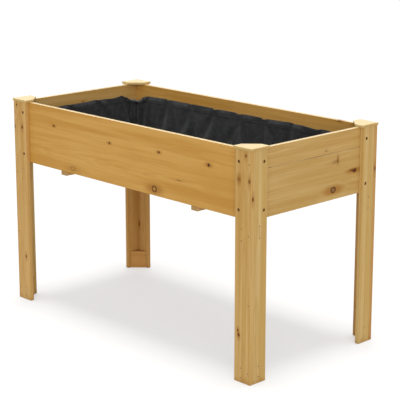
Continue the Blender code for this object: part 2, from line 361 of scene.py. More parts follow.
def wood_material(wood: Wood, timber: Timber, name: str) -> bpy.types.Material:
    """Paints growth rings, streaks, fibres and knots into one board's material, with painted light on faces
    that look up and painted shade at the legs' feet.

    Args:
        wood: The finish.
        timber: How the board was sawn.
        name: The board's name.

    Returns:
        The material.
    """
    shader = Shader(f"{wood.name}_{name}", Specular_IOR_Level=0.15)
    place = shader.node("ShaderNodeTexCoord", None, None, "Object")
    centred = shader.node("ShaderNodeMapping", None, {"Vector": place, "Location": -timber.centre})
    if timber.turn:
        turned = {"Vector": centred, "Rotation": (0.0, 0.0, timber.turn)}
        centred = shader.node("ShaderNodeMapping", None, turned)
    parts = [shader.node("ShaderNodeSeparateXYZ", None, {0: centred}, i) for i in range(3)]
    along, across, deep = parts[timber.grain], parts[timber.across], parts[timber.thickness]
    shift = 7.31 * timber.seed

    def stretched(length: float, width: float) -> Signal:
        """The place in the board measured in features of a length along the grain and a width across it."""
        inputs = {0: along / length + shift, 1: across / width + shift, 2: deep / width - shift}
        return shader.node("ShaderNodeCombineXYZ", None, inputs)

    sway = shader.noise(stretched(0.42, 0.10), detail=2.0) - 0.5
    wander = shader.noise(stretched(0.16, 0.035), detail=3.0) - 0.5
    streak = shader.noise(stretched(0.70, wood.streak_width), detail=3.0, Roughness=0.55)
    vein = shader.noise(stretched(0.22, 0.0060), detail=3.0, Roughness=0.6)
    fibre = shader.noise(stretched(0.030, 0.00055), detail=2.0)
    patch = shader.noise(stretched(0.35, 0.09), detail=2.0)

    side = across - timber.pith_across + sway * 0.030
    below = deep + timber.pith_depth
    radius = (side * side + below * below).root() + along * timber.taper + wander * 0.006
    rough_edge = {"Vector": place, "Scale": 160.0, "Detail": 2.0}
    ragged = shader.node("ShaderNodeTexNoise", None, rough_edge, "Color")
    ragged = shader.vector_maths("SUBTRACT", ragged, (0.5, 0.5, 0.5))
    ragged = shader.vector_maths("SCALE", ragged, Scale=0.0030)
    torn = shader.vector_maths("ADD", place, ragged)
    core: Any = 0.0
    halo: Any = 0.0
    heart: Any = 0.0
    for knot in timber.knots:
        offset = shader.vector_maths("SUBTRACT", torn, knot.at)
        scaled = shader.vector_maths("MULTIPLY", offset, timber.inverse_radii(knot))
        near = shader.vector_maths("LENGTH", scaled, output="Value")
        wide = shader.vector_maths("MULTIPLY", offset, timber.inverse_radii(knot, 5.0, 2.2))
        far = shader.vector_maths("LENGTH", wide, output="Value")
        radius = radius + far.step(1.3, 0.1) * (sorted(knot.radii)[1] * 1.5 * knot.pull)
        core = near.step(1.05 + knot.soft, 0.80 - knot.soft) * knot.depth + core
        halo = far.step(1.0, 0.25) * (knot.stain * knot.depth) + halo
        if knot.heart:
            heart = near.step(0.75, 0.35) * knot.heart + heart
    rings = radius / timber.ring
    saw = rings.fraction()
    late = saw.step(0.30, 0.88) * saw.step(1.0, 0.93)
    season = shader.noise(shader.node("ShaderNodeCombineXYZ", None, {0: rings * 0.31 + shift}), detail=1.0)
    late = late * season.step(0.30, 0.75) * wood.ring_contrast

    colour = shader.mix(streak.step(0.36, 0.66), wood.pale, wood.honey)
    colour = shader.mix(vein.step(0.50, 0.80) * 0.35, colour, wood.late)
    colour = shader.mix(late, colour, wood.late)
    colour = shader.mix(patch.step(0.45, 0.70) * wood.flame, colour, wood.honey)
    value = fibre.step(0.25, 0.75) * 0.10 + 0.95
    red, green, blue = timber.tone
    shade = shader.node("ShaderNodeCombineXYZ", None, {0: value * red, 1: value * green, 2: value * blue})
    colour = shader.mix(1.0, colour, shade, "MULTIPLY")
    normal = shader.node("ShaderNodeNewGeometry", None, None, "Normal")
    facing = shader.node("ShaderNodeSeparateXYZ", None, {0: normal}, timber.grain).size()
    colour = shader.mix(facing.step(0.60, 0.95) * 0.75, colour, wood.end)
    # Painted light: faces that look up take a paler colour, a painted highlight from the lamp overhead; on the
    # blocks a darker one, painted shade.
    painted_top_mask = shader.node("ShaderNodeSeparateXYZ", None, {0: normal}, 2).step(0.30, 0.85)
    colour = shader.mix(painted_top_mask * 0.75, colour, wood.sunned)
    if timber.knots:
        turns = shader.node("ShaderNodeTexNoise", None, {"Vector": torn, "Scale": 420.0, "Detail": 2.0})
        colour = shader.mix(halo.least(1.0) * 0.75, colour, wood.halo)
        wooden = shader.mix(turns.step(0.40, 0.80) * 0.4, wood.knot, wood.halo)
        if isinstance(heart, Signal):
            wooden = shader.mix(heart, wooden, wood.honey)
        colour = shader.mix(core.least(1.0), colour, wooden)
    # Painted shade: the colour darkens towards the floor at the legs' feet, where contact shade falls.
    if wood.damp:
        height = shader.node("ShaderNodeSeparateXYZ", None, {0: place}, 2)
        painted_foot_shade_mask = (height + wander * 0.06).step(wood.damp, 0.0)
        colour = shader.mix(painted_foot_shade_mask * 0.40, colour, wood.halo)
    grain_height = fibre * 0.6 + vein * 0.25 - late * 0.35
    roughness = (vein - 0.5) * 0.16 - late * 0.08 + wood.roughness
    return shader.finish(
        Base_Color=colour,
        Roughness=roughness,
        Normal=shader.bump(grain_height, 0.00035, 0.55),
    )


@dataclass(frozen=True)
class Steel:
    """A fastener's steel, with a coat that wears and rusts in patches."""

    name: str
    coat: Colour
    worn: Colour
    roughness: float
    metallic: float

    def material(self) -> bpy.types.Material:
        """The material: mottled coat over metal.

        Returns:
            The finished material.
        """
        shader = Shader(self.name, Metallic=self.metallic)
        place = shader.node("ShaderNodeTexCoord", None, None, "Object")
        mottle = shader.noise(place, 900.0, 3.0)
        scratch = shader.noise(place, 2600.0, 2.0)
        colour = shader.mix(mottle.step(0.42, 0.72), self.coat, self.worn)
        roughness = mottle * 0.2 + self.roughness
        return shader.finish(
            Base_Color=colour, Roughness=roughness, Normal=shader.bump(scratch, 0.00004, 0.4)
        )


@dataclass(frozen=True)
class Felt:
    """Non-woven ground-cover cloth: pressed fibres held by a grid of small welded points."""

    name: str
    fibre: Colour
    lint: Colour
    point_pitch: float = 0.0022

    def material(self) -> bpy.types.Material:
        """The material: fibres in every direction under a diamond grid of pressed points.

        Returns:
            The finished material.
        """
        shader = Shader(self.name, Sheen_Weight=0.25, Sheen_Roughness=0.5, Specular_IOR_Level=0.2)
        place = shader.node("ShaderNodeTexCoord", None, None, "Object")
        cloud = shader.noise(place, 55.0, 4.0)
        fuzz = shader.noise(place, 1500.0, 3.0, Distortion=1.6)
        turned = {"Vector": place, "Rotation": (0.61, 0.35, math.pi / 4)}
        grid = shader.node("ShaderNodeMapping", None, turned)
        cells = {"Vector": grid, "Scale": 1.0 / self.point_pitch, "Randomness": 0.12}
        points = shader.node("ShaderNodeTexVoronoi", None, cells, "Distance").step(0.16, 0.42)
        colour = shader.mix(cloud.step(0.35, 0.75) * 0.6, self.fibre, self.lint)
        colour = shader.mix(fuzz.step(0.52, 0.80) * 0.35, colour, self.lint)
        return shader.finish(
            Base_Color=colour,
            Roughness=cloud * 0.10 + 0.86,
            Normal=shader.bump(points * 0.7 + fuzz * 0.5, 0.0004, 0.8),
        )


@dataclass(frozen=True)
class Bore:
    """The wood inside a drilled hole: torn, darkened fibres, with painted shade of the recess."""

    name: str
    deep: Colour
    torn: Colour

    def material(self) -> bpy.types.Material:
        """The material: dark wood, partly painted shade of the recess, with paler torn fibres.

        Returns:
            The finished material.
        """
        shader = Shader(self.name, Specular_IOR_Level=0.1)
        place = shader.node("ShaderNodeTexCoord", None, None, "Object")
        fibre = shader.noise(place, 1400.0, 3.0)
        colour = shader.mix(fibre.step(0.45, 0.75), self.deep, self.torn)
        return shader.finish(
            Base_Color=colour, Roughness=fibre * 0.2 + 0.7, Normal=shader.bump(fibre, 0.0002, 0.5)
        )


SCREW_STEEL = Steel("screw_steel", (0.22, 0.12, 0.035), (0.34, 0.20, 0.070), 0.34, 0.60)
NAIL_STEEL = Steel("nail_steel", (0.27, 0.155, 0.050), (0.36, 0.21, 0.075), 0.45, 0.3)
STAPLE_STEEL = Steel("staple_steel", (0.50, 0.49, 0.47), (0.33, 0.30, 0.27), 0.28, 1.0)
# the holes' faces: darker end grain plus painted shade of the recess
BORE = Bore("bore", (0.210, 0.095, 0.022), (0.360, 0.190, 0.055))
LINER_FELT = Felt("liner_felt", (0.020, 0.021, 0.022), (0.052, 0.053, 0.055))


# Shapes


@dataclass(frozen=True)
class Split:
    """A hairline crack in a face, as a lens with its middle on the face."""

    middle: Vector
    radii: Vector


@dataclass(frozen=True)
class Hole:
    """A straight hole, or a dimple that stops where its end is."""

    start: Vector
    end: Vector
    radius: float
    sides: int = 20


def add_rod(bm: bmesh.types.BMesh, start: Vector, end: Vector, low: float, high: float, sides: int) -> None:
    """Adds a closed round bar between two points.

    Args:
        bm: Where it goes.
        start: The middle of its first end.
        end: The middle of its other end.
        low: The radius at the start.
        high: The radius at the end.
        sides: How many sides it has.
    """
    axis = end - start
    turn = UP.rotation_difference(axis).to_matrix().to_4x4()
    bmesh.ops.create_cone(
        bm,
        cap_ends=True,
        segments=sides,
        radius1=low,
        radius2=high,
        depth=axis.length,
        matrix=Matrix.Translation((start + end) / 2) @ turn,
    )


def to_object(
    bm: bmesh.types.BMesh,
    name: str,
    look: bpy.types.Material,
    smooth: float = 0.0,
) -> bpy.types.Object:
    """Makes a finished piece, at the origin, that rides on the planter.

    Args:
        bm: The shape, which is freed.
        name: The piece's name.
        look: Its material.
        smooth: The angle in degrees up to which its edges are shaded smooth, or 0 for flat shading.

    Returns:
        The piece.
    """
    mesh = bpy.data.meshes.new(name)
    bm.to_mesh(mesh)
    bm.free()
    mesh.materials.append(look)
    if smooth:
        mesh.shade_smooth()
        mesh.set_sharp_from_angle(angle=math.radians(smooth))
    piece = bpy.data.objects.new(name, mesh)
    bpy.context.scene.collection.objects.link(piece)
    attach(piece, "root")
    return piece


def cut(bm: bmesh.types.BMesh, cutters: bmesh.types.BMesh, slot: int = 0) -> bmesh.types.BMesh:
    """Takes closed cutters away from a shape.

    Args:
        bm: The shape, which is freed.
        cutters: What is taken away, which is freed.
        slot: The material slot of the faces that the cutters leave.

    Returns:
        The shape with the cutters taken out.
    """
    objects = []
    for face in cutters.faces:
        face.material_index = slot
    for shape in (bm, cutters):
        mesh = bpy.data.meshes.new("work")
        shape.to_mesh(mesh)
        shape.free()
        for _ in range(slot + 1):
            mesh.materials.append(None)
        objects.append(bpy.data.objects.new("work", mesh))
        bpy.context.scene.collection.objects.link(objects[-1])
    body, tool = objects
    boolean = body.modifiers.new("cut", "BOOLEAN")
    boolean.operation = "DIFFERENCE"
    boolean.object = tool
    boolean.use_self = True
    bpy.context.view_layer.update()
    evaluated = body.evaluated_get(bpy.context.evaluated_depsgraph_get())
    result = bmesh.new()
    result.from_mesh(bpy.data.meshes.new_from_object(evaluated))
    for obj in objects:
        bpy.data.objects.remove(obj)
    return result


def in_order(bm: bmesh.types.BMesh) -> bmesh.types.BMesh:
    """Numbers a shape's vertices and faces by their places, so that a simulation of it always ends the same.

    Args:
        bm: The shape, which is freed.

    Returns:
        The same shape, with each vertex on a whole micrometre.
    """
    spots = {vertex: tuple(round(value, 6) for value in vertex.co) for vertex in bm.verts}
    numbers = {vertex: number for number, vertex in enumerate(sorted(bm.verts, key=spots.get))}
    ordered = bmesh.new()
    made = [ordered.verts.new(spots[vertex]) for vertex in numbers]
    loops = []
    for face in bm.faces:
        corners = [numbers[vertex] for vertex in face.verts]
        first = corners.index(min(corners))
        loops.append(corners[first:] + corners[:first])
    for corners in sorted(loops):
        ordered.faces.new([made[number] for number in corners])
    bm.free()
    ordered.normal_update()
    return ordered


def weather(bm: bmesh.types.BMesh, low: Vector, high: Vector, seed: float, wave: float = 0.00022) -> None:
    """Slices a board across its length and lets its faces and arrises wander inwards by a hair.

    Args:
        bm: The board.
        low: The lowest corner of its place.
        high: The highest corner of its place.
        seed: What makes this board differ from the others.
        wave: The deepest that a face wanders, in metres.
    """
    extent = high - low
    axis = max(range(3), key=lambda i: extent[i])
    slices = max(2, round(extent[axis] / 0.030))
    direction = Vector((0.0, 0.0, 0.0))
    direction[axis] = 1.0
    for i in range(1, slices):
        point = low.lerp(high, i / slices)
        geometry = bm.verts[:] + bm.edges[:] + bm.faces[:]
        bmesh.ops.bisect_plane(bm, geom=geometry, plane_co=point, plane_no=direction)
    bm.normal_update()
    moved = []
    for vertex in bm.verts:
        place = vertex.co * 9.0 + Vector((seed * 3.7, -seed, seed * 1.9))
        moved.append(vertex.normal * (-wave * (0.5 + 0.5 * noise.noise(place))))
    for vertex, move in zip(bm.verts, moved):
        vertex.co += move


def ease(bm: bmesh.types.BMesh, width: float, segments: int = 3) -> None:
    """Rounds every edge of a sharp-edged shape.

    Args:
        bm: The shape.
        width: How wide the rounding is, in metres.
        segments: How many faces it has across.
    """
    bmesh.ops.bevel(
        bm,
        geom=bm.edges[:],
        offset=width,
        segments=segments,
        profile=0.5,
        affect="EDGES",
        material=-1,
    )


def random_knots(
    low: Vector,
    high: Vector,
    grain: int,
    thickness: int,
    rng: random.Random,
    count: int,
) -> list[Knot]:
    """Small sound knots scattered over a board.

    Args:
        low: The board's lowest corner.
        high: Its highest corner.
        grain: The axis that its grain follows.
        thickness: The axis through it.
        rng: Where the scatter comes from.
        count: How many knots.

    Returns:
        The knots.
    """
    knots = []
    for _ in range(count):
        at = [rng.uniform(low[i], high[i]) for i in range(3)]
        size = rng.uniform(0.0022, 0.0062)
        radii = [size, size, size]
        radii[grain] *= rng.uniform(1.0, 1.5)
        radii[thickness] = 1.0
        depth = rng.uniform(0.55, 0.95)
        knots.append(Knot(tuple(at), tuple(radii), depth, rng.choice((0.0, 0.0, 0.6))))
    return knots


@dataclass
class Board:
    """A sawn board that takes the place of a CAD node."""

    node: str
    wood: Wood
    grain: int
    thickness: int
    slot: str
    holes: Sequence[Hole] = ()
    knots: Sequence[Knot] | None = None
    arris: float = 0.0011
    pith_depth: float = 0.055
    pith_across: float = 0.012
    ring: float = 0.0032
    outline: Sequence[Vector] = ()  # for a piece that isn't a rectangle, its corners seen from above
    tone: Colour | None = None  # what the colour is multiplied by, or None for a small random change
    splits: Sequence[Split] = ()
    seam_at: int = 0  # 1 or -1 where the top or bottom edge meets another board in an uneven seam
    seam_phase: float = 0.014
    seam_wave: float = 0.26
    seam_swell: float = 0.00035
    seam_shrink: float = 0.00030
    turn: float = 0.0  # how far the grain is turned about Z, in radians

    def shape(self, low: Vector, high: Vector, seed: float) -> bmesh.types.BMesh:
        """Models the board between two corners, with its holes.

        Args:
            low: The lowest corner of its place.
            high: The highest corner of its place.
            seed: What makes this board differ from the others.

        Returns:
            The shape.
        """
        bm = bmesh.new()
        if self.outline:
            face = bm.faces.new([bm.verts.new((point.x, point.y, low.z)) for point in self.outline])
            raised = bmesh.ops.extrude_face_region(bm, geom=[face])["geom"]
            top = [item for item in raised if isinstance(item, bmesh.types.BMVert)]
            bmesh.ops.translate(bm, verts=top, vec=(0.0, 0.0, high.z - low.z))
            bmesh.ops.recalc_face_normals(bm, faces=bm.faces)
        else:
            bmesh.ops.create_cube(bm, size=1.0)
            bmesh.ops.scale(bm, vec=high - low, verts=bm.verts)
            bmesh.ops.translate(bm, vec=(low + high) / 2, verts=bm.verts)
        ease(bm, self.arris)
        if not self.outline:
            weather(bm, low, high, seed)
        if self.seam_at:
            self.close_seam(bm, low, high)
        if self.holes:
            tools = bmesh.new()
            for hole in self.holes:
                add_rod(tools, hole.start, hole.end, hole.radius, hole.radius, hole.sides)
            for split in self.splits:
                made = bmesh.ops.create_uvsphere(tools, u_segments=6, v_segments=8, radius=1.0)["verts"]
                bmesh.ops.scale(tools, vec=split.radii, verts=made)
                bmesh.ops.translate(tools, vec=split.middle, verts=made)
            bm = cut(bm, tools, 1)
        return bm

    def close_seam(self, bm: bmesh.types.BMesh, low: Vector, high: Vector) -> None:
        """Lets the edge at a seam swell and shrink along its length, so that the seam opens and closes.

        Args:
            bm: The board.
            low: The lowest corner of its place.
            high: The highest corner of its place.
        """
        for vertex in bm.verts:
            edge = high.z if self.seam_at > 0 else low.z
            if abs(vertex.co.z - edge) < 0.003:
                shut = 0.5 - 0.5 * math.cos(math.tau * (vertex.co.y - self.seam_phase) / self.seam_wave)
                vertex.co.z += self.seam_at * (self.seam_swell * shut - self.seam_shrink * (1.0 - shut))

    def build(self) -> bpy.types.Object:
        """Makes the board, dresses it and puts it in the CAD node's place.

        Returns:
            The piece.
        """
        low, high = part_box(self.node)
        rng = random.Random(self.node)
        seed = rng.uniform(0.0, 10.0)
        knots = self.knots
        if knots is None:
            knots = random_knots(low, high, self.grain, self.thickness, rng, rng.randint(1, 3))
        timber = Timber(
            centre=(low + high) / 2,
            grain=self.grain,
            thickness=self.thickness,
            seed=seed,
            pith_depth=self.pith_depth * rng.uniform(0.8, 1.3) * rng.choice((-1, 1)),
            pith_across=self.pith_across * rng.uniform(-1.5, 1.5),
            ring=self.ring * rng.uniform(0.85, 1.2),
            turn=self.turn,
            taper=rng.uniform(0.010, 0.030) * rng.choice((-1, 1)),
            tone=self.tone or tuple(1.0 + rng.uniform(-0.5, 0.5) * change for change in (0.04, 0.06, 0.10)),
            knots=knots,
        )
        look = wood_material(self.wood, timber, self.node)
        piece = to_object(self.shape(low, high, seed), f"{self.node}_board", look)
        if self.holes:
            # the faces that the holes leave take the bore material, with its painted recess shade
            piece.data.materials.append(bpy.data.materials.get(BORE.name) or BORE.material())
        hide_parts(self.node)
        log.info("%s: %d faces", piece.name, len(piece.data.polygons))
        return piece


# Fasteners


@dataclass
class ScrewShape:
    """A pan-headed wood screw with a cross recess, its head's seat at the origin and its point at -Z."""

    length: float
    head_radius: float = 0.0044
    head_height: float = 0.0024
    shank_radius: float = 0.0020
    root_radius: float = 0.0014
    pitch: float = 0.0018
    tip: float = 0.004
    sides: int = 24

    def mesh(self) -> bpy.types.Mesh:
        """Turns the profile, then cuts the cross recess into the head.

        Returns:
            The screw.
        """
        head = [
            (0.0, self.head_height),
            (0.45 * self.head_radius, 0.96 * self.head_height),
            (0.80 * self.head_radius, 0.78 * self.head_height),
            (0.97 * self.head_radius, 0.42 * self.head_height),
            (self.head_radius, 0.12 * self.head_height),
            (0.97 * self.head_radius, 0.0),
            (self.shank_radius, 0.0),
        ]
        depth = 0.25 * self.length
        thread = [(self.root_radius, -depth)]
        while depth + self.pitch < self.length - self.tip:
            thread.append((self.shank_radius, -depth - 0.5 * self.pitch))
            thread.append((self.root_radius, -depth - self.pitch))
            depth += self.pitch
        tip = [(0.6 * self.root_radius, -self.length + 0.4 * self.tip), (0.0, -self.length)]
        profile = head + [(self.shank_radius, -0.22 * self.length)] + thread + tip
        bm = bmesh.new()
        points = [bm.verts.new((radius, 0.0, height)) for radius, height in profile]
        edges = [bm.edges.new(pair) for pair in zip(points, points[1:])]
        bmesh.ops.spin(
            bm,
            geom=points + edges,
            cent=(0.0, 0.0, 0.0),
            axis=(0.0, 0.0, 1.0),
            angle=math.tau,
            steps=self.sides,
            use_merge=True,
        )
        bmesh.ops.remove_doubles(bm, verts=bm.verts, dist=1e-6)
        bmesh.ops.recalc_face_normals(bm, faces=bm.faces)
        recess = bmesh.new()
        for turn in (0.0, math.pi / 2):
            made = bmesh.ops.create_cube(recess, size=1.0)["verts"]
            bmesh.ops.scale(recess, vec=(0.62 * self.head_radius * 2, 0.0011, 0.0030), verts=made)
            place = Matrix.Translation((0.0, 0.0, self.head_height + 0.0002)) @ Matrix.Rotation(turn, 4, "Z")
            bmesh.ops.transform(recess, matrix=place, verts=made)
        bm = cut(bm, recess)
        mesh = bpy.data.meshes.new("screw")
        bm.to_mesh(mesh)
        bm.free()
        return mesh


@dataclass
class Screws:
    """The screws of one length, each in its CAD node's place."""

    shape: ScrewShape
    look: bpy.types.Material

    def __post_init__(self) -> None:
        """Makes the one mesh that every screw copies."""
        self.pattern = self.shape.mesh()

    def build(self, node: str, facing: Vector) -> None:
        """Puts one screw in a CAD node's place, with its head facing one way and its recess at any angle.

        Args:
            node: The CAD node.
            facing: The way that the head faces.
        """
        low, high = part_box(node)
        centre = (low + high) / 2
        reach = self.shape.length + self.shape.head_height
        seat = centre + facing * (reach / 2 - self.shape.head_height)
        spin = Matrix.Rotation(random.Random(node).uniform(0.0, math.pi), 4, "Z")
        turn = UP.rotation_difference(facing).to_matrix().to_4x4()
        bm = bmesh.new()
        bm.from_mesh(self.pattern)
        bmesh.ops.transform(bm, matrix=Matrix.Translation(seat) @ turn @ spin, verts=bm.verts)
        piece = to_object(bm, f"{node}_detail", self.look, 35.0)
        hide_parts(node)


@dataclass(frozen=True)
class Nail:
    """A nail from the middle of its head to its point."""

    head: Vector
    point: Vector
    head_radius: float = 0.0021
    shank_radius: float = 0.0011
    sink: float = 0.0006

    def pit(self) -> list[Hole]:
        """The dimple over the head and the hole for the shank.

        Returns:
            The two holes, the dimple first.
        """
        inwards = (self.point - self.head).normalized()
        return [
            Hole(self.head - inwards * 0.004, self.head + inwards * 0.0016, self.head_radius + 0.00025, 16),
            Hole(self.head, self.point + inwards * 0.0004, self.shank_radius + 0.0002, 10),
        ]

    def add_to(self, bm: bmesh.types.BMesh) -> None:
        """Adds the nail's domed head, shank and point to a group.

        Args:
            bm: The group, whose vertices are tagged once they are in place.
        """
        inwards = (self.point - self.head).normalized()
        top = self.head + inwards * self.sink
        turn = UP.rotation_difference(-inwards).to_matrix().to_4x4()
        length = (self.point - top).length
        profile = [
            (0.0, 0.00018),
            (0.55 * self.head_radius, 0.00014),
            (self.head_radius, -0.00010),
            (self.head_radius, -0.00055),
            (self.shank_radius, -0.00090),
            (self.shank_radius, 0.003 - length),
            (0.0, -length),
        ]
        points = [bm.verts.new((radius, 0.0, height)) for radius, height in profile]
        edges = [bm.edges.new(pair) for pair in zip(points, points[1:])]
        bmesh.ops.spin(
            bm,
            geom=points + edges,
            cent=(0.0, 0.0, 0.0),
            axis=(0.0, 0.0, 1.0),
            angle=math.tau,
            steps=12,
            use_merge=True,
        )
        own = [vertex for vertex in bm.verts if vertex.tag is False]
        bmesh.ops.transform(bm, matrix=Matrix.Translation(top) @ turn, verts=own)
        for vertex in own:
            vertex.tag = True


def nail_group(name: str, nails: Iterable[Nail], look: bpy.types.Material) -> bpy.types.Object:
    """One piece that holds a group of nails.

    Args:
        name: The piece's name.
        nails: The nails.
        look: Their material.

    Returns:
        The piece.
    """
    bm = bmesh.new()
    for nail in nails:
        nail.add_to(bm)
    bmesh.ops.remove_doubles(bm, verts=bm.verts, dist=1e-6)
    bmesh.ops.recalc_face_normals(bm, faces=bm.faces)
    piece = to_object(bm, name, look, 35.0)
    log.info("%s: %d faces", name, len(piece.data.polygons))
    return piece


# Sub-assemblies


class Corner(Enum):
    """The four legs, each with the signs of its X and its Y."""

    FRONT_RIGHT = ("front_right", 1, -1)
    FRONT_LEFT = ("front_left", -1, -1)
    BACK_RIGHT = ("back_right", 1, 1)
    BACK_LEFT = ("back_left", -1, 1)

    @property
    def label(self) -> str:
        """The corner's name in node names."""
        return self.value[0]

    @property
    def side_x(self) -> int:
        """The sign of X."""
        return self.value[1]

    @property
    def side_y(self) -> int:
        """The sign of Y."""
        return self.value[2]

    @property
    def wide_tone(self) -> Colour | None:
        """What the wide board's colour is multiplied by, where it isn't left to chance."""
        # the back legs' wide boards get painted shade
        return {"front_left": WARM_LEG, "back_right": PAINTED_SHADE_LEG, "back_left": PAINTED_SHADE_LEG}.get(self.label)

    @property
    def narrow_tone(self) -> Colour:
        """What the narrow board's colour is multiplied by."""
        # the back left leg's narrow board gets painted shade
        return PAINTED_SHADE_LEG if self is Corner.BACK_LEFT else PALE_LEG


@dataclass
class Leg:
    """One L-section leg: two boards, two blocks, a cap, four screws and twelve nails.

    Distances from the corner are measured inwards from the leg's outer corner.
    """

    corner: Corner
    wide_knots: Sequence[Knot] | None = None
    narrow_knots: Sequence[Knot] | None = None
    block_side: float = 0.043
    cap_straight: float = 0.035
    screw_from_corner: float = 0.055
    screw_heights: tuple[float, float] = (0.562, 0.715)
    counterbore_radius: float = 0.0052
    counterbore_depth: float = 0.0045
    screw_hole_radius: float = 0.0023
    corner_nail_in: float = 0.0105
    corner_nail_heights: tuple[float, ...] = (0.037, 0.2615, 0.486, 0.7105)
    wide_block_nail_in: float = 0.042
    wide_block_nail_heights: tuple[float, ...] = (0.016, 0.048, 0.4655, 0.5035)
    narrow_block_nail_in: float = 0.0375
    narrow_block_nail_heights: tuple[float, ...] = (0.021, 0.055, 0.4745, 0.5135)
    corner_nail_reach: float = 0.040
    block_nail_reach: float = 0.028

    def __post_init__(self) -> None:
        """Reads the outer corner and the boards' thickness from the frame."""
        low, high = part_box(f"leg_wide_board_{self.corner.label}")
        self.outer_x = high.x if self.corner.side_x > 0 else low.x
        self.outer_y = high.y if self.corner.side_y > 0 else low.y
        self.thickness = high.y - low.y

    def point(self, inwards_x: float, inwards_y: float, height: float) -> Vector:
        """The place at distances inwards from the outer corner, at a height."""
        x = self.outer_x - self.corner.side_x * inwards_x
        y = self.outer_y - self.corner.side_y * inwards_y
        return Vector((x, y, height))

    def wide_nails(self) -> list[Nail]:
        """The nails driven through the wide board, along Y."""
        rows = [(self.corner_nail_in, h, self.corner_nail_reach) for h in self.corner_nail_heights]
        rows += [(self.wide_block_nail_in, h, self.block_nail_reach) for h in self.wide_block_nail_heights]
        return [Nail(self.point(x, 0.0, h), self.point(x, reach, h)) for x, h, reach in rows]

    def narrow_nails(self) -> list[Nail]:
        """The nails driven through the narrow board, along X.

        Returns:
            The nails, from the lowest up.
        """
        y = self.narrow_block_nail_in
        return [
            Nail(self.point(0.0, y, h), self.point(self.block_nail_reach, y, h))
            for h in self.narrow_block_nail_heights
        ]

    def screw_holes(self, on_wide: bool) -> list[Hole]:
        """The counterbores and through holes of the two screws on one face.

        Args:
            on_wide: Whether the face is the wide board's.

        Returns:
            The holes.
        """

        def at(depth: float, height: float) -> Vector:
            """The place on a screw's axis at a depth under the face."""
            if on_wide:
                return self.point(self.screw_from_corner, depth, height)
            return self.point(depth, self.screw_from_corner, height)

        holes = []
        for height in self.screw_heights:
            seat = at(self.counterbore_depth, height)
            holes.append(Hole(at(-0.004, height), seat, self.counterbore_radius, 28))
            holes.append(Hole(at(0.0, height), at(2 * self.thickness, height), self.screw_hole_radius, 12))
        return holes

    def splits(self) -> list[Split]:
        """The hairline crack between the two nails into the upper block, on the narrow board.

        Returns:
            The crack, or nothing on a leg that has none.
        """
        if self.corner is not Corner.FRONT_RIGHT:
            return []
        heights = self.narrow_block_nail_heights[2:]
        middle = self.point(0.0, self.narrow_block_nail_in, sum(heights) / 2)
        return [Split(middle, Vector((0.0020, 0.00045, 0.0215)))]

    def outline(self, near: float, far: float, bend: float | None = None) -> list[Vector]:
        """A triangle in the L from near to far or, with a bend, a square with its inner corner cut off.

        Args:
            near: The sides' distance from the outer corner.
            far: How far the sides reach.
            bend: Where the sides turn into the diagonal, if they do.

        Returns:
            The corners, at height 0.
        """
        places = [(near, near), (far, near), (near, far)]
        if bend is not None:
            places = [(near, near), (far, near), (far, bend), (bend, far), (near, far)]
        return [self.point(x, y, 0.0) for x, y in places]

    def boards(self) -> list[Board]:
        """The boards, the blocks and the cap.

        Returns:
            The pieces, each with its holes and knots.
        """
        label = self.corner.label
        wide_nails = self.wide_nails()
        narrow_nails = self.narrow_nails()
        corner_nails = wide_nails[: len(self.corner_nail_heights)]
        wide_pits = [hole for nail in wide_nails for hole in nail.pit()]
        narrow_pits = [hole for nail in narrow_nails for hole in nail.pit()]
        shanks = [nail.pit()[1] for nail in corner_nails]
        near = self.thickness + 0.0003
        block = self.outline(near, near + self.block_side)
        low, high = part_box(f"cap_{label}")
        overhang = abs((high.x if self.corner.side_x > 0 else low.x) - self.outer_x)
        cap = self.outline(-overhang, high.x - low.x - overhang, self.cap_straight - overhang)
        upright = {"grain": 2, "wood": LEG_WOOD, "slot": "leg_wood"}
        return [
            Board(
                f"leg_wide_board_{label}",
                thickness=1,
                holes=self.screw_holes(True) + wide_pits,
                knots=self.wide_knots,
                tone=self.corner.wide_tone,
                **upright,
            ),
            Board(
                f"leg_narrow_board_{label}",
                thickness=0,
                holes=self.screw_holes(False) + narrow_pits + shanks,
                knots=self.narrow_knots,
                tone=self.corner.narrow_tone,
                splits=self.splits(),
                **upright,
            ),
            *(
                Board(
                    f"{place}_block_{label}",
                    BLOCK_WOOD,
                    grain=0,
                    thickness=1,
                    slot="block_wood",
                    outline=block,
                    arris=0.0008,
                    knots=(),
                    turn=math.pi / 4 * self.corner.side_x * self.corner.side_y,
                )
                for place in ("foot", "upper")
            ),
            Board(f"cap_{label}", CAP_WOOD, 0, 2, "cap_wood", outline=cap, arris=0.0014, knots=()),
        ]

    def build(self, screws: Screws, nail_look: bpy.types.Material) -> None:
        """Makes every piece of the leg.

        Args:
            screws: The screws of the right length.
            nail_look: The nails' material.
        """
        for board in self.boards():
            board.build()
        label = self.corner.label
        nail_group(f"leg_nails_{label}", self.wide_nails() + self.narrow_nails(), nail_look)
        for level in ("lower", "upper"):
            screws.build(f"leg_screw_{label}_long_{level}", Vector((0.0, self.corner.side_y, 0.0)))
            screws.build(f"leg_screw_{label}_short_{level}", Vector((self.corner.side_x, 0.0, 0.0)))


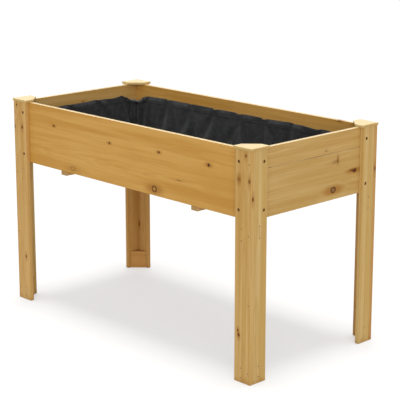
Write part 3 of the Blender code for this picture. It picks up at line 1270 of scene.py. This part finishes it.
@dataclass
class Box:
    """The sides of the planting box, its floor, and the battens under it."""

    floor_nail_spread: float = 0.030
    floor_nail_reach: float = 0.022
    counterbore_radius: float = 0.0052
    counterbore_depth: float = 0.003
    screw_hole_radius: float = 0.0023

    def sides(self) -> list[Board]:
        """The long and short sides.

        Returns:
            The six side boards.
        """
        low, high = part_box("long_panel_front")
        front, base = low.y, low.z
        right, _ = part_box("short_panel_right_lower")
        through = 1.0

        def pin(x: float, height: float, size: float, depth: float = 1.25) -> Knot:
            """A small knot in the front long side, at a height above its lower edge."""
            return Knot((x, front, base + height), (size, through, size), depth, soft=0.25)

        def end_knot(y: float, height: float, wide: float, tall: float, **more: float) -> Knot:
            """A knot in the right short side, at a height above its lower edge."""
            return Knot((right.x, y, base + height), (through, wide, tall), **more)

        front_knots = [
            pin(-0.388, 0.157, 0.0042),
            pin(-0.0825, 0.142, 0.0042),
            pin(0.168, 0.150, 0.0046),
            pin(0.402, 0.1465, 0.0058),
            Knot((0.145, front, base + 0.0225), (0.0132, through, 0.0124), 1.30, heart=0.75),
            Knot((-0.2834, front, base + 0.0190), (0.0165, through, 0.0095), 0.45, heart=0.9, soft=0.10),
            Knot((0.264, front, base + 0.0720), (0.0150, through, 0.0020), 0.60, pull=0.2, soft=0.30),
        ]
        right_knots = [
            end_knot(0.205, 0.0815, 0.0110, 0.0072, depth=1.30, pull=0.8, soft=0.10),
            end_knot(0.190, 0.0840, 0.0110, 0.0035, depth=0.80, pull=0.2, soft=0.35),
            end_knot(0.099, 0.0325, 0.0140, 0.0104, depth=1.60, heart=0.42, pull=1.0, soft=0.10),
            end_knot(0.1195, 0.1310, 0.0026, 0.0135, depth=0.70, pull=0.3, soft=0.30),
            end_knot(0.106, 0.1255, 0.0135, 0.0060, depth=0.35, pull=0.3, soft=0.50),
        ]
        upper_knots = [end_knot(0.061, 0.1680, 0.0034, 0.0034, depth=0.55, soft=0.40)]
        sides = [
            Board("long_panel_front", SIDE_WOOD, 0, 1, "panel_wood", knots=front_knots, pith_across=0.05),
            Board("long_panel_back", SIDE_WOOD, 0, 1, "panel_wood", pith_across=0.05),
        ]
        known = {"short_panel_right_lower": right_knots, "short_panel_right_upper": upper_knots}
        for side in ("left", "right"):
            for row in ("lower", "upper"):
                node = f"short_panel_{side}_{row}"
                extra = {"knots": known.get(node), "seam_at": 1 if row == "lower" else -1, "arris": 0.0008}
                sides.append(Board(node, END_WOOD, 1, 0, "panel_wood", pith_across=0.03, **extra))
        return sides

    def batten_holes(self, side: str) -> list[Hole]:
        """The counterbores and through holes under the ends of one batten.

        Args:
            side: Which batten, left or right.

        Returns:
            The holes.
        """
        holes = []
        for end in ("front", "back"):
            low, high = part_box(f"batten_screw_{side}_{end}")
            middle = (low + high) / 2
            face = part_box(f"floor_batten_{side}")[0].z
            under = Vector((middle.x, middle.y, face - 0.004))
            seat = Vector((middle.x, middle.y, face + self.counterbore_depth))
            holes.append(Hole(under, seat, self.counterbore_radius, 28))
            holes.append(Hole(under, seat + 0.03 * UP, self.screw_hole_radius, 12))
        return holes

    def floor_nails(self) -> list[Nail]:
        """The nails that hold the floor boards to the battens, two at each crossing.

        Returns:
            The nails.
        """
        nails = []
        for i in range(1, 6):
            low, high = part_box(f"floor_board_{i}")
            for side in ("left", "right"):
                batten_low, batten_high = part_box(f"floor_batten_{side}")
                x = (batten_low.x + batten_high.x) / 2
                for sign in (-1, 1):
                    y = (low.y + high.y) / 2 + sign * self.floor_nail_spread
                    top = Vector((x, y, high.z))
                    nails.append(Nail(top, top - self.floor_nail_reach * UP))
        return nails

    def build(self, screws: Screws, nail_look: bpy.types.Material) -> None:
        """Makes every piece of the box.

        Args:
            screws: The screws of the right length.
            nail_look: The nails' material.
        """
        for side in self.sides():
            side.build()
        nails = self.floor_nails()
        for i in range(1, 6):
            low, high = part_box(f"floor_board_{i}")
            pits = [hole for nail in nails if low.y < nail.head.y < high.y for hole in nail.pit()]
            Board(f"floor_board_{i}", FLOOR_WOOD, 0, 2, "floor_wood", holes=pits).build()
        nail_group("floor_nails", nails, nail_look)
        for side in ("left", "right"):
            holes = self.batten_holes(side)
            Board(f"floor_batten_{side}", FLOOR_WOOD, 1, 2, "batten_wood", holes=holes, knots=()).build()
            for end in ("front", "back"):
                screws.build(f"batten_screw_{side}_{end}", -UP)


@dataclass
class Liner:
    """The felt liner: a cross of cloth, folded up against the sides, hemmed and stapled near its top."""

    cloth: float = 0.0011
    inset: float = 0.0016  # from the liner's space to the middle of the cloth
    corner_radius: float = 0.012
    cell: float = 0.0105
    staple_pitch: float = 0.125
    staple_drop: float = 0.011  # from the cloth's top edge
    staple_reach: float = 0.007  # how far from a staple the cloth is held
    hem: float = 0.022
    hem_lift: float = 0.0014
    lap: float = 0.030  # how far the long sides' cloth runs round the corners
    slack: float = 0.022  # how much longer the cloth is than the box, as a share
    frames: int = 34
    crown: float = 0.010

    def __post_init__(self) -> None:
        """Reads the liner's space from the frame."""
        self.low, self.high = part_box("liner")
        margin = Vector((self.inset, self.inset, self.inset))
        self.start = self.low + margin
        self.stop = Vector((self.high.x - self.inset, self.high.y - self.inset, self.high.z - 0.0006))
        self.half = (self.stop - self.start) / 2

    def staple_places(self) -> list[tuple[Vector, Vector]]:
        """The middle of each staple on the cloth, and the way that it faces.

        Returns:
            Pairs of a place and a direction.
        """
        places = []
        height = self.stop.z - self.staple_drop
        for axis, other in ((0, 1), (1, 0)):
            count = round(2 * self.half[axis] / self.staple_pitch)
            for i in range(count):
                for side in (-1, 1):
                    point, facing = Vector((0.0, 0.0, height)), Vector((0.0, 0.0, 0.0))
                    point[axis] = (2 * (i + 0.5) / count - 1) * self.half[axis]
                    point[other] = side * self.half[other]
                    facing[other] = -side
                    places.append((point, facing))
        return places

    def flat_sided(self) -> bmesh.types.BMesh:
        """The cloth as an open-topped box in small cells, before it hangs, with its faces towards the bed.

        Returns:
            The cloth.
        """
        size = self.stop - self.start
        bm = bmesh.new()
        bmesh.ops.create_cube(bm, size=1.0)
        bmesh.ops.scale(bm, vec=size, verts=bm.verts)
        bmesh.ops.translate(bm, vec=(self.start + self.stop) / 2, verts=bm.verts)
        top = [face for face in bm.faces if face.normal.z > 0.5]
        bmesh.ops.delete(bm, geom=top, context="FACES_ONLY")
        edges = [edge for edge in bm.edges if not edge.is_boundary]
        bmesh.ops.bevel(
            bm,
            geom=edges,
            offset=self.corner_radius,
            segments=3,
            profile=0.5,
            affect="EDGES",
            material=-1,
        )
        for axis in range(3):
            normal = Vector((0.0, 0.0, 0.0))
            normal[axis] = 1.0
            first = self.start[axis] + self.corner_radius
            last = self.stop[axis] - (self.hem if axis == 2 else self.corner_radius)
            count = round((last - first) / self.cell)
            levels = [first + (last - first) * i / count for i in range(1, count)]
            if axis == 2:
                levels += [last, last + self.hem / 2]
            for level in levels:
                point = Vector((0.0, 0.0, 0.0))
                point[axis] = level
                geometry = bm.verts[:] + bm.edges[:] + bm.faces[:]
                bmesh.ops.bisect_plane(bm, geom=geometry, plane_co=point, plane_no=normal)
        bmesh.ops.remove_doubles(bm, verts=bm.verts, dist=0.0004)
        bmesh.ops.recalc_face_normals(bm, faces=bm.faces)
        bm.normal_update()
        bottom = min(bm.faces, key=lambda face: face.calc_center_median().z)
        if bottom.normal.z < 0.0:
            bmesh.ops.reverse_faces(bm, faces=bm.faces)
        return in_order(bm)

    def room(self) -> bpy.types.Object:
        """The inside of the box, which the cloth can't pass while it hangs.

        Returns:
            An object that collides with the cloth.
        """
        bm = bmesh.new()
        bmesh.ops.create_cube(bm, size=1.0)
        size = self.stop - self.start
        edge = 0.0014  # how far past the cloth's first place the room ends
        bmesh.ops.scale(bm, vec=(size.x + edge, size.y + edge, 2 * size.z), verts=bm.verts)
        bmesh.ops.translate(bm, vec=(0.0, 0.0, self.start.z - edge / 2 + size.z), verts=bm.verts)
        top = [face for face in bm.faces if face.normal.z > 0.5]
        bmesh.ops.delete(bm, geom=top, context="FACES_ONLY")
        bmesh.ops.reverse_faces(bm, faces=bm.faces)
        mesh = bpy.data.meshes.new("room")
        bm.to_mesh(mesh)
        bm.free()
        room = bpy.data.objects.new("room", mesh)
        bpy.context.scene.collection.objects.link(room)
        collision = room.modifiers.new("collision", "COLLISION")
        collision.settings.thickness_outer = 0.0008
        collision.settings.cloth_friction = 12.0
        return room

    def hang(self, bm: bmesh.types.BMesh) -> bmesh.types.BMesh:
        """Lets the slack cloth settle under its weight, held by its staples.

        Args:
            bm: The flat-sided cloth, which is kept.

        Returns:
            The cloth as it hangs, with its vertices in the same order.
        """
        mesh = bpy.data.meshes.new("hanging")
        bm.to_mesh(mesh)
        cloth = bpy.data.objects.new("hanging", mesh)
        bpy.context.scene.collection.objects.link(cloth)
        held = cloth.vertex_groups.new(name="held")
        places = [place for place, _ in self.staple_places()]
        for vertex in mesh.vertices:
            if min((vertex.co - place).length for place in places) < self.staple_reach:
                held.add([vertex.index], 1.0, "REPLACE")
        room = self.room()
        modifier = cloth.modifiers.new("cloth", "CLOTH")
        settings = modifier.settings
        settings.quality = 6
        settings.mass = 0.15
        settings.tension_stiffness = 20.0
        settings.compression_stiffness = 12.0
        settings.shear_stiffness = 6.0
        settings.bending_stiffness = 0.35
        settings.air_damping = 3.0
        settings.shrink_min = -self.slack
        settings.vertex_group_mass = "held"
        modifier.collision_settings.distance_min = 0.0009
        modifier.collision_settings.collision_quality = 3
        modifier.point_cache.frame_end = self.frames
        scene = bpy.context.scene
        for frame_number in range(1, self.frames + 1):
            scene.frame_set(frame_number)
        evaluated = cloth.evaluated_get(bpy.context.evaluated_depsgraph_get())
        hung = bmesh.new()
        hung.from_mesh(evaluated.to_mesh())
        evaluated.to_mesh_clear()
        bpy.data.objects.remove(cloth)
        bpy.data.objects.remove(room)
        scene.frame_set(1)
        return hung

    def part_of(
        self,
        hung: bmesh.types.BMesh,
        flat: bmesh.types.BMesh,
        wanted: Callable[[Vector], bool],
        lift: Callable[[Vector], float],
    ) -> bmesh.types.BMesh:
        """Copies some of the hung cloth and lifts the copy off it, towards the bed.

        Args:
            hung: The cloth as it hangs.
            flat: The same cloth before it hung.
            wanted: Whether a face is copied, by its middle before it hung.
            lift: How far a point is lifted, by its place before it hung.

        Returns:
            The lifted copy.
        """
        part = hung.copy()
        part.normal_update()
        flat.faces.ensure_lookup_table()
        flat.verts.ensure_lookup_table()
        rises = [vertex.normal * lift(before.co) for vertex, before in zip(part.verts, flat.verts)]
        for vertex, rise in zip(part.verts, rises):
            vertex.co += rise
        rest = [
            face
            for face, before in zip(part.faces, flat.faces)
            if not wanted(before.calc_center_median())
        ]
        bmesh.ops.delete(part, geom=rest, context="FACES")
        return part

    def fold_hem(self, cloth: bmesh.types.BMesh, flat: bmesh.types.BMesh) -> None:
        """Folds a strip from the cloth's top edge down towards the bed, along the cloth as it hangs.

        Args:
            cloth: The cloth as it hangs, which gets the strip.
            flat: The same cloth before it hung.
        """
        cloth.verts.ensure_lookup_table()
        cloth.normal_update()
        depths = (0.0, self.hem / 2, self.hem)
        places: dict[tuple[float, float, float], tuple[Vector, Vector]] = {}
        for vertex, before in zip(cloth.verts, flat.verts):
            places[self.key(before.co, 0.0)] = (vertex.co.copy(), vertex.normal.copy())
        ring = {
            vertex: before.co.copy()
            for vertex, before in zip(cloth.verts, flat.verts)
            if before.co.z > self.stop.z - 1e-5
        }
        edges = [edge for edge in cloth.edges if edge.is_boundary]
        for depth in depths:
            made = bmesh.ops.extrude_edge_only(cloth, edges=edges)["geom"]
            following = {}
            for vertex in (item for item in made if isinstance(item, bmesh.types.BMVert)):
                source = next(e.other_vert(vertex) for e in vertex.link_edges if e.other_vert(vertex) in ring)
                start = ring[source]
                place, normal = places[self.key(start, depth)]
                waver = 0.0007 * (1.0 + noise.noise((start - depth * UP) * 40.0)) * depth / self.hem
                vertex.co = place + normal * (self.hem_lift + waver)
                following[vertex] = start
            edges = [item for item in made if isinstance(item, bmesh.types.BMEdge) and item.is_boundary]
            ring = following

    def key(self, point: Vector, depth: float) -> tuple[float, float, float]:
        """A rounded place to look a point up by, at a depth under it."""
        return (round(point.x, 4), round(point.y, 4), round(point.z - depth, 3))

    def laps(self, hung: bmesh.types.BMesh, flat: bmesh.types.BMesh) -> bmesh.types.BMesh:
        """The long sides' cloth where it runs on round the corners and lies over the short sides' cloth.

        Args:
            hung: The cloth as it hangs.
            flat: The same cloth before it hung.

        Returns:
            The four laps.
        """
        keep = self.stop.z - self.hem

        def inwards(point: Vector) -> tuple[float, float]:
            """How far a point is from the short side and from the long side."""
            return self.half.x - abs(point.x), self.half.y - abs(point.y)

        def wanted(middle: Vector) -> bool:
            """Whether a face is in a lap."""
            from_short, from_long = inwards(middle)
            return from_short < self.corner_radius and from_long < self.lap and middle.z < keep

        def lift(point: Vector) -> float:
            """Nothing on the long side, then one cloth's thickness."""
            turned = 1.0 - min(1.0, max(0.0, inwards(point)[0]) / self.corner_radius)
            return (self.hem_lift - 0.0001) * min(1.0, 1.6 * turned)

        return self.part_of(hung, flat, wanted, lift)

    def staple(self, place: Vector, facing: Vector, tilt: float) -> bmesh.types.BMesh:
        """One U-shaped staple, with its crown on the cloth and its legs in the wood.

        Args:
            place: The middle of the crown.
            facing: The way out of the wood.
            tilt: How far it stands out of level, in radians.

        Returns:
            The staple.
        """
        bm = bmesh.new()
        bmesh.ops.create_cube(bm, size=1.0)
        bmesh.ops.scale(bm, vec=(self.crown, 0.0011, 0.0006), verts=bm.verts)
        for side in (-1, 1):
            bend = (side * (self.crown / 2 - 0.0008), 0.0, 0.0)
            geometry = bm.verts[:] + bm.edges[:] + bm.faces[:]
            bmesh.ops.bisect_plane(bm, geom=geometry, plane_co=bend, plane_no=(1.0, 0.0, 0.0))
        bm.normal_update()
        under = [face for face in bm.faces if face.normal.z < -0.9]
        ends = [face for face in under if abs(face.calc_center_median().x) > 0.004]
        legs = bmesh.ops.extrude_discrete_faces(bm, faces=ends)["faces"]
        points = {vertex for face in legs for vertex in face.verts}
        bmesh.ops.translate(bm, verts=list(points), vec=(0.0, 0.0, -0.006))
        bmesh.ops.bevel(
            bm,
            geom=[edge for edge in bm.edges if edge.calc_face_angle(0.0) > 1.0],
            offset=0.00012,
            segments=1,
            profile=0.5,
            affect="EDGES",
            material=-1,
        )
        side = facing.cross(UP)
        turn = Matrix((side, UP, facing)).transposed().to_4x4()
        stand = Matrix.Translation(place) @ turn @ Matrix.Rotation(tilt, 4, "Z")
        bmesh.ops.transform(bm, matrix=stand, verts=bm.verts)
        return bm

    def staples(self, look: bpy.types.Material) -> bpy.types.Object:
        """All the staples, each a little out of level.

        Args:
            look: Their material.

        Returns:
            The piece.
        """
        rng = random.Random("staples")
        proud = self.cloth / 2 + self.hem_lift + self.cloth / 2 + 0.0004
        bm = bmesh.new()
        for place, facing in self.staple_places():
            one = self.staple(place + facing * proud, facing, rng.uniform(-0.09, 0.09))
            mesh = bpy.data.meshes.new("staple")
            one.to_mesh(mesh)
            one.free()
            bm.from_mesh(mesh)
            bpy.data.meshes.remove(mesh)
        bmesh.ops.recalc_face_normals(bm, faces=bm.faces)
        return to_object(bm, "liner_staples", look)

    def cloth_piece(self, bm: bmesh.types.BMesh, name: str, look: bpy.types.Material) -> bpy.types.Object:
        """Makes a sheet into a piece of the cloth's thickness.

        Args:
            bm: The sheet.
            name: The piece's name.
            look: Its material.

        Returns:
            The piece.
        """
        piece = to_object(bm, name, look, 60.0)
        wall = piece.modifiers.new("thickness", "SOLIDIFY")
        wall.thickness = self.cloth
        wall.offset = 0.0
        return piece

    def build(self, felt: bpy.types.Material, steel: bpy.types.Material) -> None:
        """Args:
            felt: The cloth's material.
            steel: The staples' material.
        """
        flat = self.flat_sided()
        hung = self.hang(flat)
        laps = self.cloth_piece(self.laps(hung, flat), "liner_laps", felt)
        self.fold_hem(hung, flat)
        liner = self.cloth_piece(hung, "liner_cloth", felt)
        flat.free()
        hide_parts("liner")
        staples = self.staples(steel)


@dataclass
class Studio:
    """The floor, the lamps and the camera."""

    floor_half: float = 40.0
    floor_seen: float = 0.82  # the floor's colour to the camera
    floor_lit: float = 0.50  # the floor's colour to everything else
    floor_glow: float = 0.52  # how much of the floor that the camera sees is plain white
    sky: float = 0.55
    key: float = 2.10
    front_fill: float = 1.56
    back_fill: float = 0.80
    camera_at: tuple[float, float, float] = (3.3178, -3.1239, 1.6222)
    heading: float = 0.8054
    tilt: float = 0.2255
    focal_ratio: float = 3.3006  # focal length over the frame's long side
    shift: float = -0.10

    def seen(self, shader: Shader) -> Signal:
        """One where the camera sees a surface, itself or through a reflection or clear glass.

        Args:
            shader: The material that asks.

        Returns:
            One or nothing.
        """
        kinds = ("Camera", "Glossy", "Transmission")
        straight, mirrored, through = (
            shader.node("ShaderNodeLightPath", None, None, f"Is {kind} Ray") for kind in kinds
        )
        return straight.most(mirrored).most(through)

    def floor(self) -> None:
        """A pale floor that shows as white away from the planter's shadow."""
        bm = bmesh.new()
        bmesh.ops.create_grid(bm, x_segments=1, y_segments=1, size=self.floor_half)
        bmesh.ops.translate(bm, vec=(0.0, 0.0, -0.0005), verts=bm.verts)
        mesh = bpy.data.meshes.new("studio_floor")
        bm.to_mesh(mesh)
        bm.free()
        shader = Shader("studio_floor", Roughness=0.9, Specular_IOR_Level=0.0)
        seen = self.seen(shader)
        lit = (self.floor_lit, self.floor_lit, self.floor_lit)
        shown = (self.floor_seen, self.floor_seen, self.floor_seen)
        shader.put(shader.surface.inputs["Base Color"], shader.mix(seen, lit, shown))
        glow = shader.node("ShaderNodeEmission", None, {"Color": (1.0, 1.0, 1.0), "Strength": 1.0})
        surface = Signal(shader, shader.surface.outputs[0])
        blend = shader.node("ShaderNodeMixShader", None, {0: seen * self.floor_glow, 1: surface, 2: glow})
        shader.put(shader.tree.nodes["Material Output"].inputs["Surface"], blend)
        mesh.materials.append(shader.material)
        floor = bpy.data.objects.new("studio_floor", mesh)
        bpy.context.scene.collection.objects.link(floor)

    def sun(self, name: str, strength: float, heading: float, height: float, spread: float) -> None:
        """Adds one soft distant lamp.

        Args:
            name: The lamp's name.
            strength: Its strength.
            heading: Where it stands, in degrees round from +X towards +Y.
            height: Its height over the horizon, in degrees.
            spread: The width of the lamp as seen from the planter, in degrees.
        """
        lamp = bpy.data.lights.new(name, "SUN")
        lamp.energy = strength
        lamp.angle = math.radians(spread)
        holder = bpy.data.objects.new(name, lamp)
        bpy.context.scene.collection.objects.link(holder)
        h, v = math.radians(heading), math.radians(height)
        back = Vector((math.cos(h) * math.cos(v), math.sin(h) * math.cos(v), math.sin(v)))
        holder.rotation_mode = "QUATERNION"
        holder.rotation_quaternion = back.to_track_quat("Z", "Y")

    def world(self) -> None:
        """A white surround for the camera and for reflections, and a softer sky for the light."""
        world = bpy.data.worlds.new("studio")
        bpy.context.scene.world = world
        world.use_nodes = True
        tree = world.node_tree
        path = tree.nodes.new("ShaderNodeLightPath")
        strength = tree.nodes.new("ShaderNodeMapRange")
        strength.inputs["To Min"].default_value = 1.0
        strength.inputs["To Max"].default_value = self.sky
        tree.links.new(path.outputs["Is Diffuse Ray"], strength.inputs["Value"])
        background = tree.nodes["Background"]
        tree.links.new(strength.outputs[0], background.inputs["Strength"])
        background.inputs["Color"].default_value = (1.0, 1.0, 1.0, 1.0)

    def camera(self) -> None:
        """The camera, a little above the rim and off the front right corner."""
        data = bpy.data.cameras.new("camera")
        data.lens = self.focal_ratio * data.sensor_width
        data.shift_y = self.shift
        data.clip_end = 200.0
        holder = bpy.data.objects.new("camera", data)
        bpy.context.scene.collection.objects.link(holder)
        holder.location = self.camera_at
        holder.rotation_euler = (math.pi / 2 - self.tilt, 0.0, self.heading)
        bpy.context.scene.camera = holder

    def build(self) -> None:
        """Sets the whole studio."""
        bpy.context.scene.view_settings.view_transform = "Standard"
        self.camera()
        self.floor()
        self.world()
        self.sun("key", self.key, heading=0.0, height=90.0, spread=20.0)
        self.sun("front_fill", self.front_fill, heading=-43.0, height=14.0, spread=50.0)
        self.sun("back_fill", self.back_fill, heading=137.0, height=14.0, spread=50.0)


def leg_knots(corner: Corner) -> list[Knot]:
    """The knots in a leg's wide board.

    Args:
        corner: Which leg.

    Returns:
        The knots.
    """
    low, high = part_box(f"leg_wide_board_{corner.label}")
    outer = high.x if corner.side_x > 0 else low.x
    face = (low.y + high.y) / 2
    through = 1.0

    def knot(
        inwards: float,
        height: float,
        wide: float,
        tall: float,
        depth: float,
        **more: float,
    ) -> Knot:
        """A knot through the board, at a distance inwards from the leg's outer corner."""
        at = (outer - corner.side_x * inwards, face, height)
        return Knot(at, (wide, through, tall), depth, **more)

    def edge_knot(inwards: float, height: float) -> Knot:
        """A knot that shows only on the board's outer edge."""
        y = (low.y if corner.side_y < 0 else high.y) - corner.side_y * inwards
        return Knot((outer, y, height), (0.0045, 0.0046, 0.0082), 0.85, pull=0.6, soft=0.3)

    if corner is Corner.FRONT_RIGHT:
        return [
            knot(0.0540, 0.6590, 0.0070, 0.0062, 0.55, pull=0.4, soft=0.60, stain=1.8),
            knot(0.0095, 0.6588, 0.0048, 0.0080, 0.80, soft=0.40),
            knot(0.0253, 0.7365, 0.0048, 0.0050, 0.80, soft=0.40),
            knot(0.0556, 0.1712, 0.0032, 0.0046, 0.90, soft=0.20),
            knot(0.0511, 0.1568, 0.0046, 0.0060, 1.30, soft=0.15),
            edge_knot(0.0065, 0.6035),
        ]
    if corner is Corner.FRONT_LEFT:
        return [
            knot(0.0481, 0.6595, 0.0062, 0.0072, 0.90, soft=0.35),
            knot(0.0027, 0.6580, 0.0046, 0.0075, 0.90, soft=0.25),
            knot(0.0185, 0.7389, 0.0044, 0.0048, 0.90, soft=0.30),
            knot(0.0490, 0.1689, 0.0042, 0.0060, 0.95, soft=0.15),
        ]
    if corner is Corner.BACK_RIGHT:
        return [edge_knot(0.0077, 0.6052), knot(0.030, 0.33, 0.0045, 0.0052, 0.8)]
    return [
        knot(0.0207, 0.1740, 0.0048, 0.0062, 1.10, soft=0.15),
        knot(0.0207, 0.1840, 0.0024, 0.0090, 0.50, pull=0.2, soft=0.50),
    ]


def main() -> None:
    """Builds the planter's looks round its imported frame."""
    logging.basicConfig(level=logging.INFO, format="%(name)s: %(message)s")
    Studio().build()
    screw_look = SCREW_STEEL.material()
    nail_look = NAIL_STEEL.material()
    leg_screws = Screws(ScrewShape(0.0205), screw_look)
    batten_screws = Screws(ScrewShape(0.031), screw_look)
    for corner in Corner:
        narrow_knots = None if corner is Corner.BACK_LEFT else ()
        Leg(corner, wide_knots=leg_knots(corner), narrow_knots=narrow_knots).build(leg_screws, nail_look)
    Box().build(batten_screws, nail_look)
    Liner().build(LINER_FELT.material(), STAPLE_STEEL.material())


if __name__ == "__main__":
    main()
